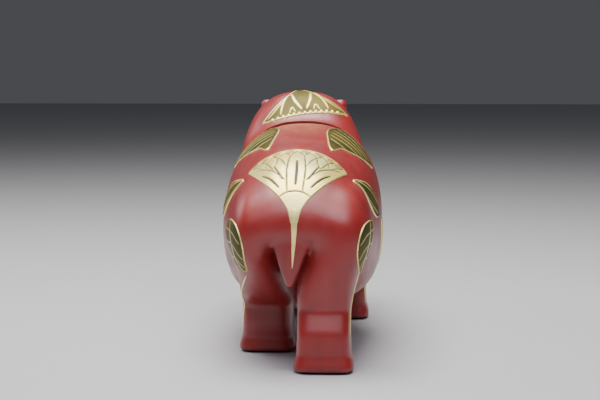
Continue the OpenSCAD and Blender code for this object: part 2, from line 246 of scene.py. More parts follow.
def make_dust_group():
    """Mask of dust that settles on faces that look up."""
    group, nodes, links, start, end = new_group(
        "settled_dust", (("Amount", 0.2), ("Scale", 120.0)), ("Mask",))
    shape = nodes.new("ShaderNodeNewGeometry")
    split = nodes.new("ShaderNodeSeparateXYZ")
    links.new(shape.outputs["Normal"], split.inputs[0])
    upward = ramp(nodes, links, split.outputs["Z"], 0.2, 1.0)
    patchy = ramp(nodes, links, noise(nodes, links, start.outputs["Scale"], 6.0), 0.3, 0.75)
    mask = multiply(nodes, links, upward, patchy)
    links.new(multiply(nodes, links, mask, start.outputs["Amount"]), end.inputs["Mask"])
    return group


def make_brush_group():
    """Streaks that a brush leaves in the lacquer, slanting down the flanks."""
    group, nodes, links, start, end = new_group("brush_streaks", (("Scale", 260.0),), ("Mask",))
    streaks = noise(nodes, links, start.outputs["Scale"], 5.0, (1.0, 0.35, 0.1), (18, -38, 0))
    links.new(ramp(nodes, links, streaks, 0.3, 0.72), end.inputs["Mask"])
    return group


GRAIN = make_grain_group()
BRUSH = make_brush_group()
WEAR = make_wear_group()
DUST = make_dust_group()


def place_group(nodes, group, **values):
    """Places a group with its own values, and gives its outputs."""
    node = nodes.new("ShaderNodeGroup")
    node.node_tree = group
    for label, value in values.items():
        node.inputs[label].default_value = value
    return node.outputs


def mix(nodes, links, mask, first, second):
    """Colour between two, which are colours or sockets, by a mask."""
    node = nodes.new("ShaderNodeMix")
    node.data_type = "RGBA"
    links.new(mask, node.inputs["Factor"])
    for socket, value in ((node.inputs[6], first), (node.inputs[7], second)):
        if isinstance(value, tuple):
            socket.default_value = (*value, 1.0)
        else:
            links.new(value, socket)
    return node.outputs[2]


def mix_value(nodes, links, mask, first, second):
    """Value between two numbers, by a mask."""
    node = nodes.new("ShaderNodeMapRange")
    node.inputs["To Min"].default_value = first
    node.inputs["To Max"].default_value = second
    links.new(mask, node.inputs["Value"])
    return node.outputs["Result"]


def grain_bump(nodes, links, shader, height, strength):
    """Grain of the surface as a fine bump."""
    bump = nodes.new("ShaderNodeBump")
    bump.inputs["Strength"].default_value = strength
    bump.inputs["Distance"].default_value = BUMP_DEPTH
    links.new(height, bump.inputs["Height"])
    links.new(bump.outputs["Normal"], shader.inputs["Normal"])


def attribute(nodes, name):
    """A value that the mesh stores at each point."""
    node = nodes.new("ShaderNodeAttribute")
    node.attribute_name = name
    return node.outputs["Fac"]


def finished(name, base, patch, worn, rough, metallic=0.0, grain=900.0, bump=0.12, wear=0.5,
             dust=0.15, coat=0.0):
    """A finish of base colour with patches, rubbed edges, dust and grain."""
    material, nodes, links, shader = new_material(name)
    grains = place_group(nodes, GRAIN, Scale=grain, Strength=1.0)
    edges = place_group(nodes, WEAR, Amount=wear, Scale=WEAR_SCALE)
    dusty = place_group(nodes, DUST, Amount=dust, Scale=DUST_SCALE)
    streaks = place_group(nodes, BRUSH, Scale=STREAK_SCALE)
    blotches = multiply(nodes, links, grains["Patches"], streaks["Mask"])
    colour = mix(nodes, links, blotches, base, patch)
    colour = mix(nodes, links, edges["Mask"], colour, worn)
    colour = mix(nodes, links, dusty["Mask"], colour, DUST_COLOUR)
    links.new(colour, shader.inputs["Base Color"])
    links.new(mix_value(nodes, links, streaks["Mask"], rough, rough + 0.14),
              shader.inputs["Roughness"])
    grain_bump(nodes, links, shader, grains["Height"], bump)
    shader.inputs["Metallic"].default_value = metallic
    shader.inputs["Coat Weight"].default_value = coat
    shader.inputs["Coat Roughness"].default_value = COAT_ROUGHNESS
    return material


def make_gilding():
    """Gilt relief: pale gold where the tone is high, dark gold in the fields, dark lines."""
    material, nodes, links, shader = new_material("gilding")
    grains = place_group(nodes, GRAIN, Scale=1300.0, Strength=1.0)
    tone, line = attribute(nodes, "tone"), attribute(nodes, "line")
    pale = mix(nodes, links, grains["Patches"], (1.0, 0.90, 0.36), (1.0, 0.79, 0.20))
    field = mix(nodes, links, grains["Patches"], (0.045, 0.036, 0.003), (0.12, 0.095, 0.008))
    colour = mix(nodes, links, tone, field, pale)
    colour = mix(nodes, links, line, colour, (0.035, 0.03, 0.02))
    links.new(colour, shader.inputs["Base Color"])
    links.new(mix_value(nodes, links, tone, 0.55, 0.3), shader.inputs["Roughness"])
    links.new(mix_value(nodes, links, tone, 0.55, 0.5), shader.inputs["Metallic"])
    grain_bump(nodes, links, shader, grains["Height"], 0.18)
    return material


# ---------------------------------------------------------------- shape of the casting

# Sections of the trunk from rump to nose: place along the length, half width, top, bottom
# and widest height as shares of the bank's sizes, and the roundness above and below.
TRUNK = (
    (0.000, 0.05, 0.510, 0.490, 0.500, 2.0, 2.0),
    (0.004, 0.33, 0.570, 0.485, 0.510, 2.0, 2.0),
    (0.014, 0.53, 0.615, 0.475, 0.505, 2.0, 2.0),
    (0.036, 0.67, 0.664, 0.466, 0.500, 2.0, 2.0),
    (0.070, 0.77, 0.714, 0.450, 0.495, 2.0, 2.0),
    (0.130, 0.84, 0.768, 0.395, 0.480, 2.0, 2.0),
    (0.210, 0.90, 0.812, 0.285, 0.470, 2.1, 2.2),
    (0.310, 0.96, 0.842, 0.185, 0.475, 2.3, 2.7),
    (0.420, 0.99, 0.860, 0.155, 0.480, 2.4, 3.0),
    (0.520, 0.99, 0.871, 0.155, 0.485, 2.4, 3.0),
    (0.575, 0.96, 0.868, 0.155, 0.500, 2.4, 3.0),
    (0.610, 0.92, 0.895, 0.158, 0.520, 2.4, 3.0),
    (0.645, 0.88, 0.960, 0.168, 0.550, 2.4, 2.8),
    (0.685, 0.85, 0.994, 0.188, 0.560, 2.5, 2.6),
    (0.730, 0.80, 0.986, 0.244, 0.580, 2.7, 2.5),
    (0.780, 0.73, 0.936, 0.336, 0.610, 2.5, 2.5),
    (0.830, 0.68, 0.886, 0.392, 0.610, 2.6, 2.6),
    (0.885, 0.67, 0.845, 0.417, 0.610, 2.7, 2.7),
    (0.940, 0.66, 0.810, 0.427, 0.606, 2.7, 2.7),
    (0.975, 0.58, 0.768, 0.448, 0.600, 2.6, 2.6),
    (0.993, 0.40, 0.712, 0.488, 0.600, 2.4, 2.4),
    (1.000, 0.05, 0.610, 0.590, 0.600, 2.0, 2.0),
)
# Height of the ankle's crease above the heel's edge, height of the fullest thigh, lean of
# the crease, flare of the soles, and how far the head stands off the middle plane.
ANKLE_RISE = 8.5
HIP_Z = 54.0
LEAN = 4.0
FLARE = 1.3
SWAY = 3.0


def spline(table, u, column):
    """Smooth value of one column of a table at place u in its first column."""
    last = len(table) - 1
    i = 0
    while i < last - 1 and u > table[i + 1][0]:
        i += 1

    def slope(j):
        a, b = max(j - 1, 0), min(j + 1, last)
        return (table[b][column] - table[a][column]) / (table[b][0] - table[a][0])

    h = table[i + 1][0] - table[i][0]
    s = (u - table[i][0]) / h
    s2, s3 = s * s, s * s * s
    rise = (2 * s3 - 3 * s2 + 1) * table[i][column] + (3 * s2 - 2 * s3) * table[i + 1][column]
    return rise + h * ((s3 - 2 * s2 + s) * slope(i) + (s3 - s2) * slope(i + 1))


def sway(u):
    """How far the neck and head stand off the middle plane, at place u."""
    s = min(max((u - 0.5) / 0.22, 0.0), 1.0)
    return -SWAY * s * s * (3 - 2 * s)


def ring_angles(count):
    """Angles of a ring of points, from the right side round."""
    return np.arange(count) * 2 * math.pi / count


def signed_power(values, power):
    """A power that keeps the sign, which squares off a round section."""
    return np.sign(values) * np.abs(values) ** power


def trunk_section(u, count, inset=0.0):
    """One closed section of the trunk, or of the hollow that is inset inside it."""
    near = [min(max(u + s * inset / BANK_L, 0.0), 1.0) for s in (-1, 0, 1)]
    width = min(spline(TRUNK, v, 1) for v in near) * BANK_W / 2 - inset
    top = min(spline(TRUNK, v, 2) for v in near) * BANK_H - inset
    low = max(spline(TRUNK, v, 3) for v in near) * BANK_H + inset
    mid = spline(TRUNK, u, 4) * BANK_H
    angle = ring_angles(count)
    up = np.sin(angle) >= 0
    power = np.where(up, 2 / spline(TRUNK, u, 5), 2 / spline(TRUNK, u, 6))
    reach = np.where(up, top - mid, mid - low)
    x = sway(u) + width * signed_power(np.cos(angle), power)
    z = mid + reach * signed_power(np.sin(angle), power)
    return np.stack([x, np.full(count, at(u)), z], axis=1)


def leg_rows(heel, a, hip_a):
    """Height, share of the way from foot to hip, half width, lean of the back, exponent."""
    return (
        (SOLE_Z, 0.00, a + FLARE - 0.5, 0.5 - FLARE, 4.6),
        (SOLE_Z + 1, 0.00, a + FLARE, -FLARE, 4.6),
        (SOLE_Z + 3, 0.00, a + FLARE * 0.7, -FLARE * 0.7, 4.6),
        (SOLE_Z + 6, 0.00, a, 0.0, 4.6),
        (heel - 4, 0.01, a - 0.2, 0.0, 4.6),
        (heel, 0.02, a - 0.4, 0.2, 4.4),
        (heel + ANKLE_RISE, 0.06, a - 0.3, LEAN, 4.0),
        (heel + ANKLE_RISE + 6, 0.22, a + 0.2 * (hip_a - a), LEAN * 0.6, 3.2),
        (HIP_Z - 16, 0.50, a + 0.6 * (hip_a - a), LEAN * 0.2, 2.7),
        (HIP_Z - 8, 0.80, a + 0.9 * (hip_a - a), 0.0, 2.4),
        (HIP_Z, 1.00, hip_a, 0.0, 2.3),
        (HIP_Z + 8, 1.00, hip_a * 0.97, 0.8, 2.2),
        (HIP_Z + 16, 1.00, hip_a * 0.80, 7.0, 2.1),
        (HIP_Z + 21, 1.00, hip_a * 0.50, 15.0, 2.0),
    )


LEGS = (
    # foot: middle, back, front; hip: middle, back, front; heel, half widths of foot and hip
    ((11.6, 1.4, 24.8), (18.2, 0.6, 46.0), (16.5, 11.3, 13.4)),
    ((-14.0, 45.5, 68.9), (-18.6, 1.2, 54.0), (13.0, 11.3, 9.4)),
    ((18.0, 129.4, 150.6), (14.0, 118.0, 146.0), (14.0, 10.2, 12.5)),
    ((-18.0, 143.4, 164.6), (-15.0, 120.0, 152.0), (14.0, 10.2, 12.5)),
)


def leg_sections(foot, hip, widths, count=48):
    """Sections of a leg from its sole up into the trunk."""
    angle = ring_angles(count)
    rings = []
    for z, share, half_width, lean, power in leg_rows(*widths):
        middle = foot[0] + (hip[0] - foot[0]) * share * share
        forward = 1 - (1 - share) ** 2
        back = foot[1] + (hip[1] - foot[1]) * forward + lean
        front = foot[2] + (hip[2] - foot[2]) * forward - min(lean, 0.0)
        x = middle + half_width * signed_power(np.cos(angle), 2 / power)
        y = (back + front) / 2 + (front - back) / 2 * signed_power(np.sin(angle), 2 / power)
        rings.append(np.stack([x, BACK_Y + y, np.full(count, z)], axis=1))
    return rings


def tail_sections(count=32):
    """A tapering flap that hangs from the rump between the thighs."""
    top, tip, steps = 62.0, 35.0, 24
    angle = ring_angles(count)
    rings = []
    for i in range(steps + 1):
        s = i / steps
        wide = 1.2 + 9.4 * s ** 0.85
        deep = 1.6 + 3.0 * s
        x = s - 2.0
        y = 2.0 + 3.4 * (1 - s) ** 2 + deep - 1.6 + 2.0 * s * s
        z = np.full(count, tip + (top - tip) * s)
        ring = [x + wide * np.cos(angle), BACK_Y + y + deep * np.sin(angle), z]
        rings.append(np.stack(ring, axis=1))
    return rings


def add_loft(name, rings):
    """A closed skin over a row of sections, in millimetres."""
    count = len(rings[0])
    faces = [list(range(count))[::-1]]
    for j in range(len(rings) - 1):
        for i in range(count):
            k = (i + 1) % count
            faces.append([j * count + i, j * count + k, (j + 1) * count + k, (j + 1) * count + i])
    faces.append([(len(rings) - 1) * count + i for i in range(count)])
    mesh = bpy.data.meshes.new(name)
    mesh.from_pydata((np.concatenate(rings) * MM).tolist(), [], faces)
    piece = bpy.data.objects.new(name, mesh)
    bpy.context.scene.collection.objects.link(piece)
    return piece


def only(*pieces):
    """Selects these pieces alone, the first of them active."""
    bpy.ops.object.select_all(action="DESELECT")
    for piece in pieces:
        piece.select_set(True)
    bpy.context.view_layer.objects.active = pieces[0]


def apply_modifier(piece, kind, **values):
    """Adds a modifier with these values and applies it."""
    only(piece)
    bpy.ops.object.modifier_add(type=kind)
    modifier = piece.modifiers[-1]
    for key, value in values.items():
        setattr(modifier, key, value)
    bpy.ops.object.modifier_apply(modifier=modifier.name)


def fix_normals(piece):
    """Turns the faces of a closed piece outwards."""
    only(piece)
    bpy.ops.object.mode_set(mode="EDIT")
    bpy.ops.mesh.select_all(action="SELECT")
    bpy.ops.mesh.normals_make_consistent(inside=False)
    bpy.ops.object.mode_set(mode="OBJECT")


def add_blob(place, radii, turn=(0.0, 0.0, 0.0)):
    """An egg shape at a place, with its radii in millimetres and its turn in degrees."""
    bpy.ops.mesh.primitive_uv_sphere_add(segments=40, ring_count=24, radius=MM)
    blob = bpy.context.object
    blob.scale = radii
    blob.rotation_euler = [math.radians(v) for v in turn]
    blob.location = Vector(place) * MM
    bpy.ops.object.transform_apply(location=True, rotation=True, scale=True)
    return blob


def soften(piece, iterations):
    """Rounds the haunches and shoulders into the legs, and leaves the feet crisp."""
    foot_top, back_low, little = 29, 84, 0.05
    group = piece.vertex_groups.new(name="soft")
    for vertex in piece.data.vertices:
        z = vertex.co.z / MM
        above_feet = min(max((z - foot_top) / 8, 0.0), 1.0)
        below_back = min(max((back_low - z) / 12, little), 1.0)
        weight = above_feet * below_back
        group.add([vertex.index], weight, "REPLACE")
    apply_modifier(piece, "SMOOTH", factor=0.5, iterations=iterations, vertex_group="soft")
    piece.vertex_groups.clear()


def fuse(parts):
    """Joins closed parts into the first, as one skin."""
    only(*parts)
    bpy.ops.object.join()
    apply_modifier(parts[0], "REMESH", mode="VOXEL", voxel_size=VOXEL)


def make_head_parts():
    """Ears, brows over the eyes, and the rises of the nostrils."""
    parts = []
    for side in (-1, 1):
        half = side * BANK_W / 2
        ear = (0.46 * half - SWAY, at(0.77), BANK_H - 9.5)
        parts.append(add_blob(ear, (4.0, 2.4, 5.8), (-10, side * 42, 0)))
        brow = (0.43 * half - SWAY, at(0.825), 0.852 * BANK_H)
        parts.append(add_blob(brow, (4.6, 6.2, 5.0)))
        nose = (0.31 * half - SWAY, at(0.935), 0.785 * BANK_H)
        parts.append(add_blob(nose, (4.9, 5.4, 3.8)))
    return parts


def make_skin():
    """The outside of the casting, before its hollow and openings are cut."""
    last = 130
    # Sections crowd together towards the rump and the nose.
    places = [math.sin(math.pi / 2 * i / last) ** 2 for i in range(last + 1)]
    trunk = add_loft("body", [trunk_section(u, 112) for u in places])
    legs = [add_loft("leg", leg_sections(*leg)) for leg in LEGS]
    parts = [trunk, *legs, make_belly_rim()]
    for part in parts:
        fix_normals(part)
    fuse(parts)
    soften(trunk, 165)
    details = [add_loft("tail", tail_sections()), *make_head_parts()]
    for part in details:
        fix_normals(part)
    fuse([trunk, *details])
    apply_modifier(trunk, "SMOOTH", factor=0.5, iterations=4)
    bpy.ops.object.shade_smooth()
    trunk.name = "iron_body"
    return trunk


def add_prism(name, outline, low, high):
    """A level outline carried up from one height to another, in millimetres."""
    rings = [np.column_stack([outline, np.full(len(outline), z)]) for z in (low, high)]
    piece = add_loft(name, rings)
    fix_normals(piece)
    return piece


def rounded_outline(middle, half_x, half_y, radius, steps=8):
    """A rectangle with rounded corners, or a circle where the radius fills it."""
    points = []
    for corner in range(4):
        x = (half_x - radius) * (1 if corner in (0, 3) else -1)
        y = (half_y - radius) * (1 if corner in (0, 1) else -1)
        for i in range(steps + 1):
            a = math.pi / 2 * (corner + i / steps)
            points.append((middle[0] + x + radius * math.cos(a),
                           middle[1] + y + radius * math.sin(a)))
    return np.array(points)


def cut(piece, cutter):
    """Takes a closed cutter away from a piece."""
    apply_modifier(piece, "BOOLEAN", object=cutter, operation="DIFFERENCE", solver="MANIFOLD")
    bpy.data.objects.remove(cutter)


# ---------------------------------------------------------------- belly, slot and hollow

# Sizes in millimetres, as the casting and its belly plate have them.
WALL = 3.6
PLATE_T = 1.6
PLATE_R = 6.0
PLATE_GAP = 0.3
OPENING_R = 3.0
UNDER_BELLY = 8.0
RIM_W = 2.0
RIM_DROP = 2.6
LEDGE_END = 7.0
LEDGE_SIDE = 4.0
FLANGE_H = 5.5
HEAD_R = 2.7
SCREW_R = 1.5
SLOT_L = 38.0
SLOT_W = 4.6
# Shares of the length where the slot is cut and where the hollow begins and ends, and share
# of the height down to which the slot is cut.
NAPE_U = 0.578
HOLLOW_U = (0.055, 0.905)
SLOT_FLOOR = 0.62

plate_low, plate_high = (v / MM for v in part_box("belly_plate"))
PLATE_TOP = plate_high.z
PLATE_MID = (0.0, (plate_low.y + plate_high.y) / 2)
PLATE_HALF = ((plate_high.x - plate_low.x) / 2, (plate_high.y - plate_low.y) / 2)


def plate_outline(grow):
    """The belly plate's outline, grown on every side."""
    return rounded_outline(PLATE_MID, PLATE_HALF[0] + grow, PLATE_HALF[1] + grow, PLATE_R + grow)


def make_belly_rim():
    """The raised rim of the casting round its belly plate."""
    low = PLATE_TOP - PLATE_T - RIM_DROP
    return add_prism("rim", plate_outline(PLATE_GAP + RIM_W), low, PLATE_TOP - PLATE_T + FLANGE_H)


def cut_openings(body):
    """The cored hollow, the belly opening with its recess and screw holes, and the slot."""
    first, end, last = *HOLLOW_U, 47
    shares = [first + (end - first) * i / last for i in range(last + 1)]
    rings = [trunk_section(u, 64, WALL) for u in shares]
    hollow = add_loft("hollow", rings)
    fix_normals(hollow)
    flange_top = PLATE_TOP + FLANGE_H
    cut(hollow, add_prism("flange", plate_outline(PLATE_GAP + 0.7 * WALL), UNDER_BELLY, flange_top))
    cut(body, hollow)
    cut(body, add_prism("recess", plate_outline(PLATE_GAP), UNDER_BELLY, PLATE_TOP))
    half_x, half_y = PLATE_HALF[0] - LEDGE_SIDE, PLATE_HALF[1] - LEDGE_END
    opening = rounded_outline(PLATE_MID, half_x, half_y, OPENING_R)
    cut(body, add_prism("opening", opening, PLATE_TOP - 1, flange_top + 6))
    middle = (sway(NAPE_U), at(NAPE_U))
    slot = rounded_outline(middle, SLOT_L / 2, SLOT_W / 2, SLOT_W / 2 - 0.1)
    cut(body, add_prism("slot", slot, SLOT_FLOOR * BANK_H, BANK_H + 5))
    low, high = (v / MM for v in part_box("plate_screws"))
    for x in (low.x + HEAD_R, high.x - HEAD_R):
        for y in (low.y + HEAD_R, high.y - HEAD_R):
            hole = rounded_outline((x, y), SCREW_R, SCREW_R, SCREW_R)
            cut(body, add_prism("hole", hole, PLATE_TOP - 1, high.z + 0.6))


# ---------------------------------------------------------------- face and vines


def surface(tree, point):
    """The nearest place on the skin, in millimetres, and its normal."""
    place, normal, _, _ = tree.find_nearest(Vector(point) * MM)
    return np.array(place) / MM, np.array(normal)


def cast(tree, start, way):
    """Where a line from a start meets the skin, in millimetres, and the skin's normal there."""
    place, normal, _, _ = tree.ray_cast(Vector(start) * MM, Vector(way))
    return (None, None) if place is None else (np.array(place) / MM, np.array(normal))


def curve(points, closed=False, steps=8):
    """A smooth curve through a few points."""
    p = np.array(points, float)
    count = len(p)
    line = []
    for i in range(count if closed else count - 1):
        picks = range(i - 1, i + 3)
        a, b, c, d = (p[k % count] if closed else p[min(max(k, 0), count - 1)] for k in picks)
        for s in np.arange(steps) / steps:
            bend = (2 * a - 5 * b + 4 * c - d) * s * s + (3 * b - a - 3 * c + d) * s ** 3
            line.append(0.5 * (2 * b + (c - a) * s + bend))
    if not closed:
        line.append(p[-1])
    return np.array(line)


def set_gilding(mesh, tones, lines):
    """Stores how pale the gold is and where a dark line runs, point by point."""
    for key, values in (("tone", tones), ("line", lines)):
        mesh.attributes.new(key, "FLOAT", "POINT").data.foreach_set("value", values)


def add_vine(name, tree, points, width, height, thin=1.0):
    """A raised line along the skin, with tapered ends; thin is its last width over its first."""
    path = [surface(tree, point) for point in curve(points, steps=14)]
    rings = []
    angle = ring_angles(12)
    for i, (place, normal) in enumerate(path):
        ahead = path[min(i + 1, len(path) - 1)][0] - path[max(i - 1, 0)][0]
        side = np.cross(ahead, normal)
        side = side / max(np.linalg.norm(side), 1e-9)
        share = min(1.0, 0.25 + 4.0 * min(i, len(path) - 1 - i) / len(path))
        broad = width * (1 + (thin - 1) * i / (len(path) - 1))
        across = np.outer(np.cos(angle), side) * broad / 2 * share
        rings.append(place + across + np.outer(np.sin(angle), normal) * height * share)
    vine = add_loft(name, rings)
    fix_normals(vine)
    count = len(vine.data.vertices)
    set_gilding(vine.data, [1.0] * count, [0.0] * count)
    return vine


def cut_mouth(body, tree):
    """A groove round the muzzle, thin at its two ends."""
    last, widest = 36, 108
    middle = (-SWAY, at(0.86), 0.545 * BANK_H)
    angle = ring_angles(10)
    rings = []
    for i in range(last + 1):
        turn = math.radians(2 * widest * i / last - widest)
        droop = 0.05 - 0.0012 * abs(i - last // 2)
        place, _ = cast(tree, middle, (math.sin(turn), math.cos(turn), droop))
        out = place - np.array(middle)
        out = out / np.linalg.norm(out)
        radius = 0.25 + 0.75 * math.sin(math.pi * i / last) ** 0.4
        upward = np.outer(np.sin(angle), np.array([0.0, 0.0, 1.0]))
        rings.append(place + radius * (np.outer(np.cos(angle), out) + upward))
    groove = add_loft("mouth", rings)
    fix_normals(groove)
    cut(body, groove)


def cut_face(body, tree):
    """Mouth line, nostrils and the hollows of the ears."""
    cut_mouth(body, tree)
    for side in (-1, 1):
        half = side * BANK_W / 2
        nostril = (0.31 * half - SWAY, at(0.965), 0.808 * BANK_H)
        cut(body, add_blob(nostril, (1.5, 2.6, 1.7), (-20, 0, side * -20)))
        ear = (0.485 * half - SWAY, at(0.782), BANK_H - 7.6)
        cut(body, add_blob(ear, (2.2, 2.0, 3.6), (-10, side * 42, 0)))


# ---------------------------------------------------------------- gilt relief

# Spacing of a relief's points, how far its face stands off the skin, how far its edge sinks
# in, how far its back is sunk below that, and how far off the skin its points are cast from.
STEP = 0.3
LIFT = 0.38
SINK = 0.45
BACKING = 0.35
CAST_FROM = 30
# Lines that are cut deeper than this are darkened, and fully so at the second depth.
SHALLOW = 0.1
DEEP = 0.28


def smooth(values):
    """A smooth step from nought to one."""
    values = np.clip(values, 0.0, 1.0)
    return values * values * (3 - 2 * values)


def distance_to(spots, line):
    """Distance of each spot from a line, and how far along the line it lies."""
    start, run = line[:-1], line[1:] - line[:-1]
    t = ((spots[:, None] - start) * run).sum(2) / np.maximum((run ** 2).sum(1), 1e-9)
    t = np.clip(t, 0.0, 1.0)
    gap = np.linalg.norm(spots[:, None] - (start + run * t[..., None]), axis=2)
    best = gap.argmin(1)
    row = np.arange(len(spots))
    return gap[row, best], (best + t[row, best]) / len(start)


def is_inside(spots, ring):
    """Whether each spot lies inside a closed outline."""
    x, y = spots[:, :1], spots[:, 1:]
    ahead = np.roll(ring, -1, axis=0)
    spans = (ring[:, 1] > y) != (ahead[:, 1] > y)
    slope = (ahead[:, 0] - ring[:, 0]) / (ahead[:, 1] - ring[:, 1] + 1e-12)
    return (spans & (x < slope * (y - ring[:, 1]) + ring[:, 0])).sum(1) % 2 == 1


def relief_axes(place, side):
    """Origin and normal of a relief's plane, and its across and upward ways."""
    flip = np.array([side, 1.0, 1.0])
    origin, normal, up = (np.array(v, float) * flip for v in place)
    normal = normal / np.linalg.norm(normal)
    across = np.cross(up, normal) * side
    across = across / np.linalg.norm(across)
    return origin, normal, across, np.cross(normal, across * side)


def relief_grid(outline):
    """Spots of a square grid over an outline, and how many columns it has."""
    low, high = outline.min(0) - 1.0, outline.max(0) + 1.0
    columns, rows = (int(v) + 1 for v in (high - low) / STEP)
    a, b = np.meshgrid(low[0] + np.arange(columns) * STEP, low[1] + np.arange(rows) * STEP)
    return np.column_stack([a.ravel(), b.ravel()]), columns


def relief_profile(spots, outline, field, rim, strokes):
    """How far inside the outline each spot lies, and its height, tone and dark line."""
    gap, _ = distance_to(spots, np.vstack([outline, outline[:1]]))
    depth = np.where(is_inside(spots, outline), gap, -gap)
    height = -SINK + (SINK + LIFT) * smooth((depth + 0.3) / 0.6)
    edge = smooth((rim - depth) / 0.25)
    tone = field + (1.0 - field) * edge
    height = height + 0.15 * edge * smooth(depth / 0.3)
    line = np.zeros(len(spots))
    for points, width, rise, shade in strokes:
        gap, along = distance_to(spots, curve(points))
        taper = 0.35 + 0.65 * np.sin(np.pi * np.clip(along, 0.0, 1.0)) ** 0.5
        mask = smooth((width * taper / 2 + 0.12 - gap) / 0.3) * smooth(depth / 0.4)
        height = height + rise * mask
        tone = tone + (shade - tone) * mask
        if rise < -SHALLOW:
            line = np.maximum(line, mask * min(1.0, -rise / DEEP))
    return depth, height, tone, line


def relief_faces(index, columns):
    """Front and back of the grid's whole squares, and the walls that close them."""
    faces, borders, count = [], {}, len(index)
    for i in index:
        corners = (i, i + 1, i + columns + 1, i + columns)
        if i % columns == columns - 1 or not all(c in index for c in corners):
            continue
        quad = [index[c] for c in corners]
        faces.append(quad)
        faces.append([count + v for v in reversed(quad)])
        for k in range(4):
            borders[(quad[k], quad[(k + 1) % 4])] = True
    for v, w in borders:
        if (w, v) not in borders:
            faces.append([w, v, count + v, count + w])
    return faces


def add_relief(name, tree, place, outline, field, rim, strokes, side=1):
    """A thin gilt relief on the skin, over an outline in the plane of place.

    place is the origin, the way it faces and its upward way. field is the tone inside a pale
    rim. strokes are (points, width, height, tone), and one well below zero cuts a dark line.
    side -1 mirrors it all."""
    origin, normal, across, upward = relief_axes(place, side)
    spots, columns = relief_grid(outline)
    depth, height, tone, line = relief_profile(spots, outline, field, rim, strokes)
    index, top, bottom, tones, lines = {}, [], [], [], []
    for i in np.flatnonzero(depth > -0.62):
        start = origin + across * spots[i, 0] + upward * spots[i, 1] + normal * CAST_FROM
        spot, way = cast(tree, start, -normal)
        if spot is None or way @ normal < 0.15:
            continue
        index[i] = len(top)
        top.append(spot + way * height[i])
        bottom.append(spot - way * (SINK + BACKING))
        tones.append(tone[i])
        lines.append(line[i])
    mesh = bpy.data.meshes.new(name)
    points = (np.array(top + bottom) * MM).tolist()
    mesh.from_pydata(points, [], relief_faces(index, columns))
    set_gilding(mesh, tones + tones, lines + lines)
    piece = bpy.data.objects.new(name, mesh)
    bpy.context.scene.collection.objects.link(piece)
    fix_normals(piece)
    bpy.ops.object.mode_set(mode="EDIT")
    bpy.ops.mesh.select_all(action="SELECT")
    bpy.ops.mesh.delete_loose()
    bpy.ops.object.mode_set(mode="OBJECT")
    bpy.ops.object.shade_smooth()
    return piece


def mirrored(strokes):
    """Strokes, and again on the other side of the middle line."""
    copies = [([(-a, b) for a, b in points], *rest) for points, *rest in strokes]
    return strokes + copies


def closed_half(half, middle):
    """An outline from its right half and the point where it meets the middle line."""
    return np.vstack([half, [middle], half[::-1] * (-1, 1)])


def lotus_outline(reach=1.0):
    """A fan of petals on a cup, from its stem round by the right tip and the arc."""
    right = curve([(1.4, -17.5), (3.2, -12.2), (6.6, -6.8), (10.9, -1.2), (16.0, 6.4), (20.6, 15.2)])
    arc = curve([(20.6, 15.2), (17.0, 19.6), (11.4, 23.0), (5.8, 24.8), (0.0, 25.3)])
    return closed_half(np.vstack([right[:-1], arc[:-1]]), (0.0, 25.3)) * reach


# Strokes are points across and up in millimetres, then width, height and tone.
LOTUS_PETALS = [
    ([(2.8, 20.0), (3.4, 16.0), (3.9, 9.0), (3.6, 2.0), (3.2, -4.6)], 0.55, -0.32, 0.3),
    ([(17.8, 13.2), (13.6, 11.6), (9.0, 8.2), (4.1, 1.6)], 0.55, -0.32, 0.3),
    ([(14.0, 7.2), (10.6, 3.6), (6.6, -2.2)], 0.95, -0.32, 0.3),
    ([(9.6, 12.6), (7.2, 7.0), (5.4, 2.6)], 0.7, -0.3, 0.3),
    ([(4.4, 11.6), (6.0, 15.6), (8.2, 19.0)], 0.45, -0.28, 0.3),
    ([(8.2, 19.0), (8.4, 15.4), (9.2, 12.4)], 0.45, -0.28, 0.3),
    ([(9.4, 9.6), (11.2, 13.0), (12.8, 16.6)], 0.45, -0.28, 0.3),
    ([(12.8, 16.6), (13.0, 14.2), (13.8, 12.4)], 0.4, -0.28, 0.3),
    ([(14.2, 12.4), (15.4, 13.8), (16.8, 15.2)], 0.4, -0.28, 0.3),
]
# Tips of the petals and the notches between them, and the shaded notches up to the arc.
ZIGZAG = ((0.0, 23.9), (2.8, 20.0), (5.5, 23.1), (8.2, 19.0), (10.6, 21.1), (12.8, 16.6),
          (15.1, 18.4), (16.8, 15.2), (18.6, 16.6))
LOTUS_PETALS += [(pair, 0.6, -0.3, 0.3) for pair in zip(ZIGZAG, ZIGZAG[1:])]
LOTUS_PETALS += [([(a, b + 1.6), (a * 1.06, b + 3.8)], 3.1, -0.02, 0.36) for a, b in ZIGZAG[1::2]]
LOTUS_STROKES = mirrored(LOTUS_PETALS) + [
    ([(0.1, 15.6), (0.3, 7.0), (0.1, -1.0)], 1.1, -0.34, 0.3),
    ([(-6.7, -7.2), (-3.4, -5.0), (0.0, -4.4), (3.4, -5.0), (6.7, -7.2)], 0.6, -0.34, 0.3),
]
